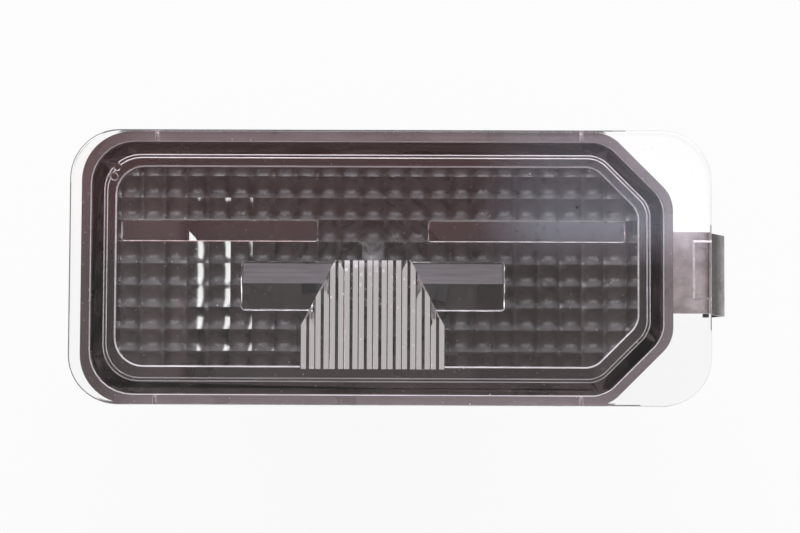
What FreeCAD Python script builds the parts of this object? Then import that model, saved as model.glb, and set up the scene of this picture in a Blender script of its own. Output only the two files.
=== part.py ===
import FreeCAD, Part
import math
import os

# A clip-in license plate lamp: clear lens, black housing, spring clip and a twist-in bulb holder.
# Millimetres. The panel's face is the plane z = 0, the lens looks along +Z, the clip is at +X.

# Lens plate.
LENS_LENGTH = 74.0
LENS_WIDTH = 31.8
LENS_CORNER = 5.7
LENS_THICKNESS = 2.6
LENS_EDGE = 0.45

# Rim of the housing under the lens, round at the left end and cut at 45 degrees at the right.
RIM_LEFT = 35.8
RIM_RIGHT = 32.7
RIM_SIDE_STEP = 0.1
RIM_CORNER = 5.7
RIM_CUT = 7.4
RIM_BLEND = 4.0
RIM_HEIGHT = 3.0
CORNER_TIGHTEN = 0.58
BLEND_TIGHTEN = 0.4

# Welded joint between lens and housing.
LIP = 1.0
LIP_TOP_GAP = 0.05
TONGUE_WIDTH = 1.6
TONGUE_HEIGHT = 1.6
TONGUE_STEP = 0.35
TONGUE_STEP_HEIGHT = 0.7
WELD_GAP = 0.05
LIP_SLOT = 0.35
LIP_SLOT_FROM_LEFT = 8.7
LIP_SLOT_FROM_RIGHT = 10.6

# Optics on the inner side of the lens.
OPTIC_INSET = 4.1
PAD_DROP = 0.6
PILLOW_PITCH = 2.54
PILLOW_RISE = 0.4
PILLOW_VALLEY = 1.3
PILLOW_MARGIN_X = 0.5
PILLOW_MARGIN_Y = 1.0
WINDOW_ROW = 2
WINDOW_COLUMNS = 9
BAR_ROW = 4
BAR_HALF_COLUMNS = 6
BAR_DROP = 2.65
FLUTES = 10
FLUTE_TIP = 0.36
FLUTE_BASE = 0.2
FLUTE_RISE = 0.4
FLUTE_SHOULDER = 2.2
FLUTE_TOP_WIDTH = 8.8
FLUTE_WIDTH = 16.7
PIP_RADIUS = 0.5
PIP_LENGTH = 1.0
PIP_OFFSETS = ((-0.1, 0.1), (-0.4, -1.1))
NOTCH_DEPTH = 2.1
NOTCH_WIDTH = 6.9
NOTCH_HEIGHT = 1.0

# Housing body.
BODY_INSET = 1.2
FLOOR = 1.8
DEEP = 18.5
SHALLOW = 6.5
SLOPE_FROM_BULB = 12.0
SLOPE_RUN = 14.5
SLOPE_ROUND = 3.0
BACK_EDGE = 1.0
SHELF = 6.5
STEP_FROM_LEFT = 11.56
VENT_HEIGHT = 9.5
VENT_LENGTH = 14.0
VENT_FLOOR_CUT = 0.2
VENT_TAPER_LENGTH = 2.2
VENT_TAPER = 1.0
PAD_HEIGHT = 0.3
PAD_WIDTH = 0.9
PAD_FROM_LEFT = 10.8
PAD_FROM_RIGHT = 14.7

# Hook at the left end and the panel it grips.
PANEL = 2.2
HOOK_WIDTH = 10.0
HOOK_REACH = 1.1
HOOK_TIP = 0.8
HOOK_HEIGHT = 3.3

# Spring clip and its rails on the right end wall.
CLIP_Y = -0.15
CLIP_WIDTH = 9.5
CLIP_THICKNESS = 0.6
CLIP_TOP_GAP = 0.45
CLIP_KNEE = 6.6
CLIP_KNEE_DEPTH = 5.0
CLIP_CREST = 4.3
CLIP_TOE = 4.6
CLIP_TOE_DEPTH = 8.4
CLIP_LEG = 7.6
CLIP_BEND = 1.1
CLIP_WALL_GAP = 0.05
CLIP_SIDE_GAP = 0.15
RAIL_HOOK = 0.85
RAIL_WIDTH = 1.2
RAIL_TOP = 2.0
CATCH_WIDTH = 2.8
CATCH_HEIGHT = 1.6
CATCH_DEPTH = 3.4
CATCH_GAP = 0.2

# Twist lock of the bulb holder.
HOLE_RADIUS = 7.6
NOSE_GAP = 0.3
NOSE_STAND = 3.0
LUGS = 3
LUG_REACH = 1.6
LUG_THICKNESS = 1.5
LUG_SPAN = 36.0
LUG_FLOOR_GAP = 0.1
LOCK_TURN = 50.0
SLOT_GAP = 0.35
STOP_SPAN = 10.0
STOP_GAP = 3.0

# Bulb holder behind the floor, with its seal.
SEAL_THICKNESS = 1.2
SEAL_WIDTH = 2.0
FLANGE_RADIUS = 10.6
FLANGE_THICKNESS = 2.0
BARREL_RADIUS = 7.2
BARREL_LENGTH = 5.0
WING_THICKNESS = 3.0
SHROUD_LENGTH = 13.0
SHROUD_WIDTH = 14.2
SHROUD_HEIGHT = 9.6
SHROUD_WALL = 1.4
SHROUD_CORNER = 1.6
CONNECTOR_DEPTH = 7.2
LATCH_WIDTH = 4.0
LATCH_RISE = 1.1
LATCH_LENGTH = 3.2

# Socket, wedge bulb and its wires.
BULB_LENGTH = 26.8
BULB_RADIUS = 4.75
GLASS = 0.7
BASE_WIDTH = 9.0
BASE_THICKNESS = 2.6
BASE_LENGTH = 7.0
SHOULDER = 1.2
CROWN = 0.75
SOCKET_DEPTH = 11.8
SOCKET_GAP = 0.4
COUNTERBORE_DEPTH = 4.5
FILAMENT_RADIUS = 0.28
FILAMENT_DROP = 7.2
LEAD_RADIUS = 0.2
LEAD_GAP = 0.03
LEAD_X = 2.7
LEAD_FOLD = 5.0
CONTACT_X = 3.2
CONTACT_WIDTH = 1.5
CONTACT_THICKNESS = 0.5
CONTACT_GAP = 0.05
CONTACT_TOP = 6.4
CONTACT_BEND = 0.6
PIN_TIP_GAP = 1.6

# Overlap that makes two bodies of one moulding fuse cleanly.
BITE = 0.5

# Levels worked out from the sizes above.
rim_half = LENS_WIDTH / 2 - RIM_SIDE_STEP
lens_rear = RIM_HEIGHT
lens_front = lens_rear + LENS_THICKNESS
pad_base = lens_rear - PAD_DROP
pillow_top = pad_base - PILLOW_RISE
ledge = lens_rear - TONGUE_HEIGHT
inner_inset = LIP + TONGUE_WIDTH
floor_in = -DEEP
floor_out = floor_in - FLOOR
seal_out = floor_out - SEAL_THICKNESS
flange_out = seal_out - FLANGE_THICKNESS
holder_end = flange_out - SHROUD_LENGTH
nose_face = floor_in + NOSE_STAND
nose_radius = HOLE_RADIUS - NOSE_GAP
socket_floor = nose_face - SOCKET_DEPTH
base_end = socket_floor + 2 * LEAD_RADIUS + 4 * LEAD_GAP
bulb_tip = base_end + BULB_LENGTH
connector_floor = holder_end + CONNECTOR_DEPTH
lead_y = BASE_THICKNESS / 2 + LEAD_GAP + LEAD_RADIUS
contact_y = lead_y + LEAD_RADIUS + LEAD_GAP + CONTACT_THICKNESS / 2
body_right = RIM_RIGHT - BODY_INSET
body_left = -RIM_LEFT + BODY_INSET
step_x = -RIM_LEFT + STEP_FROM_LEFT

# The pillow grid fills the optic area with whole cells.
optic_left = -RIM_LEFT + OPTIC_INSET
optic_right = RIM_RIGHT - OPTIC_INSET
optic_half = rim_half - OPTIC_INSET
grid_left = optic_left + PILLOW_MARGIN_X
grid_top = optic_half - PILLOW_MARGIN_Y
grid_columns = math.floor((optic_right - grid_left) / PILLOW_PITCH)
grid_rows = math.floor((grid_top + optic_half) / PILLOW_PITCH)
grid_centre = grid_left + PILLOW_PITCH * grid_columns / 2
bar_top = grid_top - BAR_ROW * PILLOW_PITCH
bar_bottom = bar_top - 2 * PILLOW_PITCH
flute_top = bar_top + FLUTE_RISE
flute_shoulder = bar_bottom - FLUTE_SHOULDER

# The bulb stands behind the fluted block.
bulb_x = grid_centre


def vec(x, y, z):
    return FreeCAD.Vector(x, y, z)


def in_plan(a, b):
    return vec(a, b, 0)


def in_length(a, b):
    return vec(a, 0, b)


def in_section(a, b):
    return vec(0, a, b)


def rounded_wire(corners, plane=in_plan):
    """Closed wire through corners (a, b, radius) of one plane."""
    arcs = []
    for index, (a, b, radius) in enumerate(corners):
        before = corners[index - 1]
        after = corners[(index + 1) % len(corners)]
        here = plane(a, b)
        back = (plane(before[0], before[1]) - here).normalize()
        ahead = (plane(after[0], after[1]) - here).normalize()
        half = back.getAngle(ahead) / 2
        reach = radius / math.tan(half)
        middle = here + (back + ahead).normalize() * (radius / math.sin(half) - radius)
        arcs.append((here + back * reach, middle, here + ahead * reach, radius))
    edges = []
    for index, (start, middle, end, radius) in enumerate(arcs):
        if radius > 0:
            edges.append(Part.Arc(start, middle, end).toShape())
        following = arcs[(index + 1) % len(arcs)][0]
        if (following - end).Length > 1e-6:
            edges.append(Part.makeLine(end, following))
    return Part.Wire(edges)


def strip_corners(path, thickness):
    """Corners of a strip of even thickness along path (a, b, bend radius of its middle line)."""
    left = []
    right = []
    for index, (a, b, radius) in enumerate(path):
        here = vec(a, b, 0)
        before = path[max(index - 1, 0)]
        after = path[min(index + 1, len(path) - 1)]
        into = here - vec(before[0], before[1], 0)
        out = vec(after[0], after[1], 0) - here
        if into.Length == 0:
            into = out
        if out.Length == 0:
            out = into
        into = into.normalize()
        out = out.normalize()
        across = (vec(-into.y, into.x, 0) + vec(-out.y, out.x, 0)).normalize()
        shift = across * (thickness / 2 / (across.x * -into.y + across.y * into.x))
        turn = into.x * out.y - into.y * out.x
        inner = max(radius - thickness / 2, 0)
        outer = radius + thickness / 2 if radius > 0 else 0
        left_point = here + shift
        right_point = here - shift
        left.append((left_point.x, left_point.y, inner if turn > 0 else outer))
        right.append((right_point.x, right_point.y, outer if turn > 0 else inner))
    return left + right[::-1]


def rise(wire, low, high):
    """Prism over a plan outline between two levels."""
    face = Part.Face(wire)
    face.translate(vec(0, 0, low))
    return face.extrude(vec(0, 0, high - low))


def along_y(corners, low, high):
    face = Part.Face(rounded_wire(corners, in_length))
    face.translate(vec(0, low, 0))
    return face.extrude(vec(0, high - low, 0))


def along_x(corners, low, high):
    face = Part.Face(rounded_wire(corners, in_section))
    face.translate(vec(low, 0, 0))
    return face.extrude(vec(high - low, 0, 0))


def box(x_low, x_high, y_low, y_high, z_low, z_high):
    size = (x_high - x_low, y_high - y_low, z_high - z_low)
    return Part.makeBox(*size, vec(x_low, y_low, z_low))


def rectangle(width, height, radius, x_centre=0.0):
    half_w = width / 2
    half_h = height / 2
    return rounded_wire([
        (x_centre - half_w, -half_h, radius),
        (x_centre + half_w, -half_h, radius),
        (x_centre + half_w, half_h, radius),
        (x_centre - half_w, half_h, radius),
    ])


def rim_outline(inset):
    """Plan outline of the housing rim, moved inwards by inset."""
    left = -RIM_LEFT + inset
    right = RIM_RIGHT - inset
    half = rim_half - inset
    cut = RIM_CUT - (2 - math.sqrt(2)) * inset
    corner = RIM_CORNER - CORNER_TIGHTEN * inset
    blend = RIM_BLEND - BLEND_TIGHTEN * inset
    return rounded_wire([
        (left, -half, corner),
        (right - cut, -half, blend),
        (right, -half + cut, blend),
        (right, half - cut, blend),
        (right - cut, half, blend),
        (left, half, corner),
    ])


def disc(radius, low, high):
    """Cylinder on the bulb axis."""
    return Part.makeCylinder(radius, high - low, vec(bulb_x, 0, low))


def sector(inner, outer, low, high, middle, span):
    """Piece of a ring on the bulb axis, span degrees wide about the angle middle."""
    start = middle - span / 2
    ring = Part.makeCylinder(outer, high - low, vec(0, 0, low), vec(0, 0, 1), span)
    core = Part.makeCylinder(inner, high - low, vec(0, 0, low))
    piece = ring.cut(core)
    piece.rotate(vec(0, 0, 0), vec(0, 0, 1), start)
    piece.translate(vec(bulb_x, 0, 0))
    return piece


def valley(place, along, low, high):
    """V-groove between two rows of pillows, its bottom on the pad's base."""
    deep = pillow_top - BITE
    half = PILLOW_VALLEY / 2 * (pad_base - deep) / PILLOW_RISE
    corners = [(place - half, deep, 0), (place + half, deep, 0), (place, pad_base, 0)]
    return along(corners, low, high)


def pillow_pad():
    """Raised optic area, divided into pillows by crossing grooves."""
    pad = rise(rim_outline(OPTIC_INSET), pillow_top, lens_rear + BITE)
    grooves = []
    for column in range(grid_columns + 1):
        x = grid_left + column * PILLOW_PITCH
        grooves.append(valley(x, along_y, -LENS_WIDTH, LENS_WIDTH))
    for row in range(grid_rows + 1):
        y = grid_top - row * PILLOW_PITCH
        grooves.append(valley(y, along_x, -LENS_LENGTH, LENS_LENGTH))
    return pad.cut(grooves)


def window(first, last):
    """Plain field that takes the place of some pillows of one row."""
    top = grid_top - WINDOW_ROW * PILLOW_PITCH
    left = grid_left + first * PILLOW_PITCH
    right = grid_left + last * PILLOW_PITCH
    return box(left, right, top - PILLOW_PITCH, top, pillow_top, lens_rear)


def flute_area(low, high):
    """Prism over the shouldered plan of the fluted block."""
    top = FLUTE_TOP_WIDTH / 2
    side = FLUTE_WIDTH / 2
    outline = rounded_wire([
        (grid_centre - side, -optic_half, 0),
        (grid_centre + side, -optic_half, 0),
        (grid_centre + side, flute_shoulder, 0),
        (grid_centre + top, flute_top, 0),
        (grid_centre - top, flute_top, 0),
        (grid_centre - side, flute_shoulder, 0),
    ])
    return rise(outline, low, high)


def flute_block():
    """Upright roof prisms with narrow flat crests, which throw light back to the front."""
    pitch = FLUTE_WIDTH / FLUTES
    root = pad_base - FLUTE_BASE
    crest = root - (pitch - FLUTE_TIP) / 2
    left = grid_centre - FLUTE_WIDTH / 2
    corners = [(left + FLUTE_WIDTH, lens_rear, 0), (left, lens_rear, 0), (left, root, 0)]
    for flute in range(FLUTES):
        middle = left + (flute + 0.5) * pitch
        corners.append((middle - FLUTE_TIP / 2, crest, 0))
        corners.append((middle + FLUTE_TIP / 2, crest, 0))
        corners.append((left + (flute + 1) * pitch, root, 0))
    block = along_y(corners, -LENS_WIDTH, LENS_WIDTH)
    return block.common(flute_area(crest - BITE, lens_rear + BITE))


def prism_bar():
    """Bar across the lens: a slanted face above, a flat field below."""
    ridge = bar_top - PILLOW_PITCH
    low = pad_base - BAR_DROP
    corners = [
        (bar_top, lens_rear, 0),
        (bar_top, pad_base, 0),
        (ridge, low, 0),
        (bar_bottom, low, 0),
        (bar_bottom, lens_rear, 0),
    ]
    reach = BAR_HALF_COLUMNS * PILLOW_PITCH
    bar = along_x(corners, grid_centre - reach, grid_centre + reach)
    return bar.cut(flute_area(low - BITE, pad_base))


def make_lens():
    plate = rise(rectangle(LENS_LENGTH, LENS_WIDTH, LENS_CORNER), lens_rear, lens_front)
    front = [edge for edge in plate.Edges if edge.BoundBox.ZMin > lens_front - 0.01]
    plate = plate.makeChamfer(LENS_EDGE, front)
    top = lens_rear + BITE
    tongue = rise(rim_outline(LIP + WELD_GAP), ledge, top)
    tongue = tongue.cut(rise(rim_outline(inner_inset), ledge - BITE, top + BITE))
    step = rise(rim_outline(inner_inset - BITE), lens_rear - TONGUE_STEP_HEIGHT, top)
    step = step.cut(rise(rim_outline(inner_inset + TONGUE_STEP), ledge - BITE, top + BITE))
    fields = [
        window(0, WINDOW_COLUMNS),
        window(grid_columns - WINDOW_COLUMNS, grid_columns),
        prism_bar(),
        flute_block(),
    ]
    inside = rise(rim_outline(OPTIC_INSET), floor_in, lens_front)
    optics = pillow_pad().fuse([field.common(inside) for field in fields])
    pips = []
    for x, y in PIP_OFFSETS:
        place = vec(optic_left + x, optic_half + y, lens_rear - PIP_LENGTH)
        pips.append(Part.makeCylinder(PIP_RADIUS, PIP_LENGTH + BITE, place))
    lens = plate.fuse([tongue, step, optics] + pips)
    right = LENS_LENGTH / 2
    notch = box(right - NOTCH_DEPTH, right + BITE, CLIP_Y - NOTCH_WIDTH / 2, CLIP_Y + NOTCH_WIDTH / 2,
                lens_rear - BITE, lens_rear + NOTCH_HEIGHT)
    return lens.cut(notch).removeSplitter()


def box_with_slope(inset, thickness, top):
    """Body under the rim: a shelf, a step down to the deep middle and a slope up to the clip end."""
    foot = bulb_x + SLOPE_FROM_BULB + thickness * math.tan(math.atan2(DEEP - SHALLOW, SLOPE_RUN) / 2)
    deep = -DEEP - thickness
    shallow = -SHALLOW - thickness
    shelf = -SHELF - thickness
    profile = along_y([
        (-LENS_LENGTH, top, 0),
        (-LENS_LENGTH, shelf, 0),
        (step_x - thickness, shelf, FLOOR - thickness),
        (step_x - thickness, deep, thickness),
        (foot, deep, SLOPE_ROUND),
        (foot + SLOPE_RUN, shallow, SLOPE_ROUND),
        (LENS_LENGTH, shallow, 0),
        (LENS_LENGTH, top, 0),
    ], -LENS_WIDTH, LENS_WIDTH)
    return rise(rim_outline(inset), deep - BITE, top).common(profile)


def clip_rails():
    """Flat seat for the clip's inner leg, two hooked rails beside it and a catch in its middle."""
    foot = -SHALLOW - FLOOR
    half = CLIP_WIDTH / 2 + CLIP_SIDE_GAP
    outer = half + RAIL_WIDTH
    front = body_right + 2 * CLIP_WALL_GAP + CLIP_THICKNESS
    pieces = []
    for side in (-1, 1):
        rail = [CLIP_Y + side * half, CLIP_Y + side * outer]
        hook = [CLIP_Y + side * (half - RAIL_HOOK), CLIP_Y + side * outer]
        pieces.append(box(body_right - BITE, RIM_RIGHT, min(rail), max(rail), foot, -RAIL_TOP))
        pieces.append(box(front, RIM_RIGHT, min(hook), max(hook), foot, -RAIL_TOP))
    half_catch = CATCH_WIDTH / 2
    pieces.append(along_y([
        (body_right - BITE, -CATCH_DEPTH, 0),
        (front, -CATCH_DEPTH, 0),
        (body_right, -CATCH_DEPTH - CATCH_HEIGHT, 0),
        (body_right - BITE, -CATCH_DEPTH - CATCH_HEIGHT, 0),
    ], CLIP_Y - half_catch, CLIP_Y + half_catch))
    return pieces


def back_edges(solid):
    """Edges round the back of the body, without the soft lines across it."""
    edges = []
    for edge in solid.Edges:
        bounds = edge.BoundBox
        across = bounds.XLength < 0.01 and bounds.ZLength < 0.01
        inside = body_left + RIM_CORNER < bounds.XMin < body_right - RIM_CORNER
        if bounds.ZMax < -BACK_EDGE and not (across and inside):
            edges.append(edge)
    return edges


def vent():
    """Opening at the foot of the step's wall, with tapered ends, that just cuts into the deep floor."""
    right = step_x + VENT_FLOOR_CUT
    left = step_x - FLOOR - BITE
    tip = VENT_LENGTH / 2
    shoulder = tip - VENT_TAPER_LENGTH
    outline = rounded_wire([
        (left, -tip, 0),
        (right - VENT_TAPER, -tip, 0),
        (right, -shoulder, 0),
        (right, shoulder, 0),
        (right - VENT_TAPER, tip, 0),
        (left, tip, 0),
    ])
    return rise(outline, floor_out - BITE, floor_in + VENT_HEIGHT)


def make_housing():
    outer = box_with_slope(BODY_INSET, FLOOR, PAD_HEIGHT)
    outer = outer.makeChamfer(BACK_EDGE, back_edges(outer))
    rim = rise(rim_outline(0), PAD_HEIGHT, lens_rear - LIP_TOP_GAP)
    hook_top = -PANEL
    hook = along_y([
        (body_left + BITE, hook_top, 0),
        (body_left - HOOK_REACH, hook_top, 0),
        (body_left - HOOK_REACH, hook_top - HOOK_TIP, 0),
        (body_left, hook_top - HOOK_HEIGHT, 0),
        (body_left + BITE, hook_top - HOOK_HEIGHT, 0),
    ], -HOOK_WIDTH / 2, HOOK_WIDTH / 2)
    pads = []
    for side in (-1, 1):
        middle = side * (rim_half - BODY_INSET / 2)
        pads.append(box(-RIM_LEFT + PAD_FROM_LEFT, RIM_RIGHT - PAD_FROM_RIGHT,
                        middle - PAD_WIDTH / 2, middle + PAD_WIDTH / 2, 0, PAD_HEIGHT + BITE))
    housing = outer.fuse([rim, hook] + pads + clip_rails())
    cuts = [
        rise(rim_outline(LIP), ledge, lens_front),
        box_with_slope(inner_inset, 0, ledge + BITE),
        disc(HOLE_RADIUS, floor_out - BITE, floor_in + BITE),
        vent(),
    ]
    for x in (-RIM_LEFT + LIP_SLOT_FROM_LEFT, RIM_RIGHT - LIP_SLOT_FROM_RIGHT):
        cuts.append(box(x - LIP_SLOT / 2, x + LIP_SLOT / 2, -LENS_WIDTH, LENS_WIDTH, ledge, lens_front))
    slot_span = LUG_SPAN + 2 * math.degrees(SLOT_GAP / HOLE_RADIUS)
    for lug in range(LUGS):
        angle = lug * 360 / LUGS + LOCK_TURN
        cuts.append(sector(HOLE_RADIUS - BITE, nose_radius + LUG_REACH + SLOT_GAP,
                           floor_out - BITE, floor_in + BITE, angle, slot_span))
    housing = housing.cut(cuts)
    stop_angle = -(LUG_SPAN + STOP_SPAN) / 2 - STOP_GAP
    stop = sector(HOLE_RADIUS + SLOT_GAP, nose_radius + LUG_REACH, floor_in - BITE,
                  floor_in + LUG_FLOOR_GAP + LUG_THICKNESS, stop_angle, STOP_SPAN)
    return housing.fuse(stop).removeSplitter()


def make_clip():
    """One bent steel strip: inner leg in the rails, crest under the lens, sprung outer leg."""
    leg_x = body_right + CLIP_WALL_GAP + CLIP_THICKNESS / 2
    crest_z = -CLIP_TOP_GAP - CLIP_THICKNESS / 2
    path = [
        (leg_x, -CLIP_LEG, 0),
        (leg_x, crest_z, CLIP_BEND),
        (RIM_RIGHT + CLIP_CREST, crest_z, CLIP_BEND),
        (RIM_RIGHT + CLIP_KNEE, -CLIP_KNEE_DEPTH, CLIP_BEND),
        (RIM_RIGHT + CLIP_TOE, -CLIP_TOE_DEPTH, 0),
    ]
    strip = along_y(strip_corners(path, CLIP_THICKNESS), CLIP_Y - CLIP_WIDTH / 2, CLIP_Y + CLIP_WIDTH / 2)
    half = CATCH_WIDTH / 2 + CATCH_GAP
    hole = box(leg_x - CLIP_THICKNESS, leg_x + CLIP_THICKNESS, CLIP_Y - half, CLIP_Y + half,
               -CATCH_DEPTH - CATCH_HEIGHT - CATCH_GAP, -CATCH_DEPTH + CATCH_GAP)
    return strip.cut(hole)


def contact(side, grow):
    """Bent contact strip: a finger beside the bulb's base that runs down into a connector pin."""
    y = side * contact_y
    pin_end = holder_end + PIN_TIP_GAP
    jog = (socket_floor - connector_floor) / 4
    path = [
        (y, socket_floor + CONTACT_TOP, 0),
        (y, socket_floor - jog, CONTACT_BEND),
        (0, connector_floor + jog, CONTACT_BEND),
        (0, pin_end, 0),
    ]
    half = CONTACT_WIDTH / 2 + grow
    corners = strip_corners(path, CONTACT_THICKNESS + 2 * grow)
    middle = bulb_x + side * CONTACT_X
    return along_x(corners, middle - half, middle + half)


def make_holder():
    nose = disc(nose_radius, seal_out - BITE, nose_face)
    flange = disc(FLANGE_RADIUS, flange_out, seal_out)
    barrel = disc(BARREL_RADIUS, flange_out - BARREL_LENGTH, seal_out)
    shroud = rise(rectangle(SHROUD_WIDTH, SHROUD_HEIGHT, SHROUD_CORNER, bulb_x), holder_end, seal_out)
    wing = box(bulb_x - WING_THICKNESS / 2, bulb_x + WING_THICKNESS / 2, -FLANGE_RADIUS + BITE,
               FLANGE_RADIUS - BITE, flange_out - BARREL_LENGTH, seal_out - BITE)
    latch_end = holder_end + LATCH_LENGTH / 2
    latch = along_x([
        (SHROUD_HEIGHT / 2 - BITE, latch_end, 0),
        (SHROUD_HEIGHT / 2, latch_end, 0),
        (SHROUD_HEIGHT / 2 + LATCH_RISE, latch_end + LATCH_LENGTH * 0.75, 0),
        (SHROUD_HEIGHT / 2 + LATCH_RISE, latch_end + LATCH_LENGTH, 0),
        (SHROUD_HEIGHT / 2 - BITE, latch_end + LATCH_LENGTH, 0),
    ], bulb_x - LATCH_WIDTH / 2, bulb_x + LATCH_WIDTH / 2)
    lug_low = floor_in + LUG_FLOOR_GAP
    lugs = []
    for lug in range(LUGS):
        lugs.append(sector(nose_radius - BITE, nose_radius + LUG_REACH, lug_low, lug_low + LUG_THICKNESS,
                           lug * 360 / LUGS, LUG_SPAN))
    holder = nose.fuse([flange, barrel, shroud, wing, latch] + lugs)
    socket_half = contact_y + CONTACT_THICKNESS / 2 + SOCKET_GAP
    socket_width = BASE_WIDTH + 2 * SOCKET_GAP
    cavity = rectangle(SHROUD_WIDTH - 2 * SHROUD_WALL, SHROUD_HEIGHT - 2 * SHROUD_WALL,
                       SHROUD_CORNER / 2, bulb_x)
    cuts = [
        disc(BULB_RADIUS + SOCKET_GAP, nose_face - COUNTERBORE_DEPTH, nose_face + BITE),
        rise(rectangle(socket_width, 2 * socket_half, SOCKET_GAP, bulb_x), socket_floor, nose_face),
        rise(cavity, holder_end - BITE, connector_floor),
        contact(1, CONTACT_GAP),
        contact(-1, CONTACT_GAP),
    ]
    return holder.cut(cuts).removeSplitter()


def make_seal():
    inner = nose_radius + CONTACT_GAP
    ring = disc(inner + SEAL_WIDTH, seal_out, floor_out)
    return ring.cut(disc(inner, seal_out - BITE, floor_out + BITE))


def make_bulb():
    """Thin glass tube with a ball end, pinched to a flat base below."""
    neck = base_end + BASE_LENGTH
    dome = bulb_tip - BULB_RADIUS
    outside = disc(BULB_RADIUS, neck, dome).fuse(Part.makeSphere(
        BULB_RADIUS, vec(bulb_x, 0, dome), vec(0, 0, 1), 0, 90, 360))
    base = rise(rectangle(BASE_WIDTH, BASE_THICKNESS, BASE_THICKNESS / 4, bulb_x), base_end, neck + BITE)
    bore = BULB_RADIUS - GLASS
    inside = disc(bore, neck + SHOULDER, dome)
    inside = inside.fuse(Part.makeCone(bore, bore / 2, bore * CROWN, vec(bulb_x, 0, dome)))
    glass = outside.fuse(base).cut(inside)
    bores = []
    for side in (-1, 1):
        bores.append(Part.makeCylinder(LEAD_RADIUS + LEAD_GAP, neck + SHOULDER - base_end + 2 * BITE,
                                       vec(bulb_x + side * LEAD_X, 0, base_end - BITE)))
    return glass.cut(bores).removeSplitter()


def make_lead(side):
    """Support wire from the filament down through the base, folded up on one of its faces."""
    low = base_end - LEAD_GAP - LEAD_RADIUS
    path = Part.makePolygon([
        vec(0, 0, bulb_tip - FILAMENT_DROP),
        vec(0, 0, low),
        vec(0, side * lead_y, low),
        vec(0, side * lead_y, base_end + LEAD_FOLD),
    ])
    circle = Part.Wire(Part.makeCircle(LEAD_RADIUS, vec(0, 0, bulb_tip - FILAMENT_DROP), vec(0, 0, 1)))
    lead = path.makePipeShell([circle], True, False, 1)
    lead.translate(vec(bulb_x + side * LEAD_X, 0, 0))
    return lead


def make_filament():
    length = 2 * (LEAD_X - LEAD_RADIUS)
    start = vec(bulb_x - length / 2, 0, bulb_tip - FILAMENT_DROP - FILAMENT_RADIUS)
    return Part.makeCylinder(FILAMENT_RADIUS, length, start, vec(1, 0, 0))


def main():
    os.makedirs("parts", exist_ok=True)
    solids = {
        "lens": make_lens(),
        "housing": make_housing(),
        "spring_clip": make_clip(),
        "bulb_holder": make_holder(),
        "holder_seal": make_seal(),
        "contact_plus": contact(1, 0),
        "contact_minus": contact(-1, 0),
        "bulb_glass": make_bulb(),
        "filament": make_filament(),
        "lead_wire_plus": make_lead(1),
        "lead_wire_minus": make_lead(-1),
    }
    for name, solid in solids.items():
        solid.exportStep("parts/" + name + ".step")
        print(name, "solids", len(solid.Solids), "faces", len(solid.Faces), "valid", solid.isValid(),
              "volume", round(solid.Volume, 1))


main()
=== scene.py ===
"""License plate lamp: the looks of the lamp and its stage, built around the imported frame."""

import math

import bmesh
import bpy
from mathutils import Euler, Matrix, Vector


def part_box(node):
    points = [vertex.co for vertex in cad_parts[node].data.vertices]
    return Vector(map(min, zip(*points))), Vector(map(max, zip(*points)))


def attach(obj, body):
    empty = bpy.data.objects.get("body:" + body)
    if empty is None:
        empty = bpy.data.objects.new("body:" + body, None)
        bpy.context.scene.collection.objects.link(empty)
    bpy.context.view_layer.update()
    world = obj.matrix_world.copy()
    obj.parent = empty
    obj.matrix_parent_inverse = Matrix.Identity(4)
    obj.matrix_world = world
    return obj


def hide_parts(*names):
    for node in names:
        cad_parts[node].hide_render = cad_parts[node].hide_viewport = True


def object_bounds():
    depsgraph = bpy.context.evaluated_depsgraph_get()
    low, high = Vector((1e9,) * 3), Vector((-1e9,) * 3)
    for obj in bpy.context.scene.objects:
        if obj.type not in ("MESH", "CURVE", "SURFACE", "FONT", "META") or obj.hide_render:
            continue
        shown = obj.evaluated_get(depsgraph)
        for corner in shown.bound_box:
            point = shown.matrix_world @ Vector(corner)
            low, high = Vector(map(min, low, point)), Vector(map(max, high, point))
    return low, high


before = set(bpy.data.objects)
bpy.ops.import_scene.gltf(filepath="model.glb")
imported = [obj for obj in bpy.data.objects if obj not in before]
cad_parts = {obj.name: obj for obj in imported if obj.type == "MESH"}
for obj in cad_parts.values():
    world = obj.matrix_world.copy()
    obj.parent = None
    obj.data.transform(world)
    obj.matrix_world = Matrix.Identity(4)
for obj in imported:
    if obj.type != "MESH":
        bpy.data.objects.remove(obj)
CAD_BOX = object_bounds()

bl_info = {
    "name": "License plate lamp",
    "version": (1, 0, 0),
    "blender": (4, 5, 0),
    "location": "3D View > Sidebar > Lamp",
    "description": "Builds the dressed license plate lamp and its stage around the packed frame",
    "category": "Object",
}

MM = 0.001
LAMP = "lamp"
TWIST = "twist_holder"
BITE = 0.2 * MM
SKIN = 0.02 * MM
LARGE_FACE = 4.0 * MM * MM

# Outline of the housing's rim, in millimetres, and how fast its roundings shrink further in
RIM_LEFT, RIM_RIGHT, RIM_HALF = -35.8, 32.7, 15.8
RIM_CORNER, CORNER_SHRINK = 5.7, 0.58
RIM_CUT, CUT_SHRINK = 7.4, 0.586
RIM_BLEND, BLEND_SHRINK = 4.0, 0.4

# Places along the lamp of the slots across the lip, whose walls get painted light
SLOT_PLACES = (-27.1 * MM, 22.1 * MM)

# Counts and fine sizes of the lens's optics
PILLOW_COLUMNS, PILLOW_ROWS, PILLOW_STEPS = 25, 10, 8
WINDOW_ROW, WINDOW_COLUMNS, WINDOW_LENGTH = 2, (0, 14), 9
FLUTE_COUNT = 10
FLUTE_TIP = 0.18 * MM
FLUTE_FLAT = 0.05 * MM
PIP_PLACES = ((-31.8 * MM, 11.8 * MM), (-32.1 * MM, 10.6 * MM))
PIP_RADIUS = 0.5 * MM
PIP_DROP = 1.0 * MM
PIP_LENGTH = 1.2 * MM

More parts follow.
